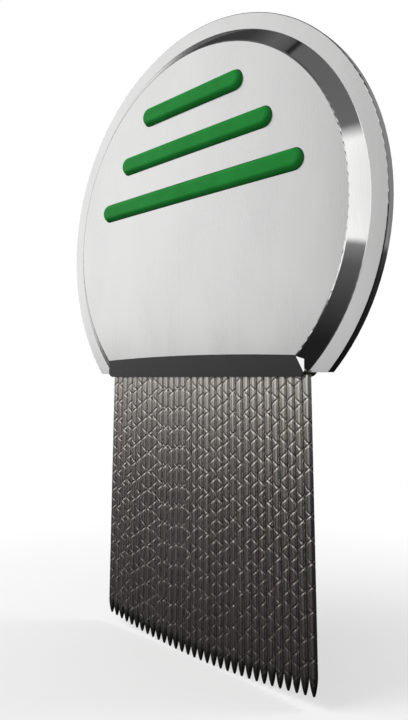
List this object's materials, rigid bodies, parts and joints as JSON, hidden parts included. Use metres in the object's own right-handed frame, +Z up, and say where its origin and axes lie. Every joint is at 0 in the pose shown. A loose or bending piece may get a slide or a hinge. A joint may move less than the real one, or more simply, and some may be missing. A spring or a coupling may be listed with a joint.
{
  "type": "flea comb",
  "caption": "Flea and lice comb with a round pressed-steel handle, soft grip ribs and a straight row of long fine steel pins.",
  "frame": {"origin": "centre of the round handle disc, on the plane where the front and rear shells meet", "axes": "+Z up from the teeth to the top of the handle, +X along the tooth row, the front face looks to -Y (the comb is the same on both faces)"},
  "size_m": [0.056, 0.0052, 0.0846],
  "materials": {
    "handle_steel": "fine vertical brush over polished stainless sheet",
    "tooth_steel": "drawn stainless pin with fine crossing spiral grooves",
    "green_grip": "smooth satin",
    "black_carrier": "moulded matte"
  },
  "bodies": {
    "root": {"front_shell": "handle_steel", "rear_shell": "handle_steel", "grip_insert": "green_grip", "tooth_bar": "black_carrier", "tooth_01": "tooth_steel", "tooth_02": "tooth_steel", "tooth_03": "tooth_steel", "tooth_04": "tooth_steel", "tooth_05": "tooth_steel", "tooth_06": "tooth_steel", "tooth_07": "tooth_steel", "tooth_08": "tooth_steel", "tooth_09": "tooth_steel", "tooth_10": "tooth_steel", "tooth_11": "tooth_steel", "tooth_12": "tooth_steel", "tooth_13": "tooth_steel", "tooth_14": "tooth_steel", "tooth_15": "tooth_steel", "tooth_16": "tooth_steel", "tooth_17": "tooth_steel", "tooth_18": "tooth_steel", "tooth_19": "tooth_steel", "tooth_20": "tooth_steel", "tooth_21": "tooth_steel", "tooth_22": "tooth_steel", "tooth_23": "tooth_steel", "tooth_24": "tooth_steel", "tooth_25": "tooth_steel", "tooth_26": "tooth_steel", "tooth_27": "tooth_steel", "tooth_28": "tooth_steel", "tooth_29": "tooth_steel", "tooth_30": "tooth_steel", "tooth_31": "tooth_steel", "tooth_32": "tooth_steel"}
  },
  "joints": []
}
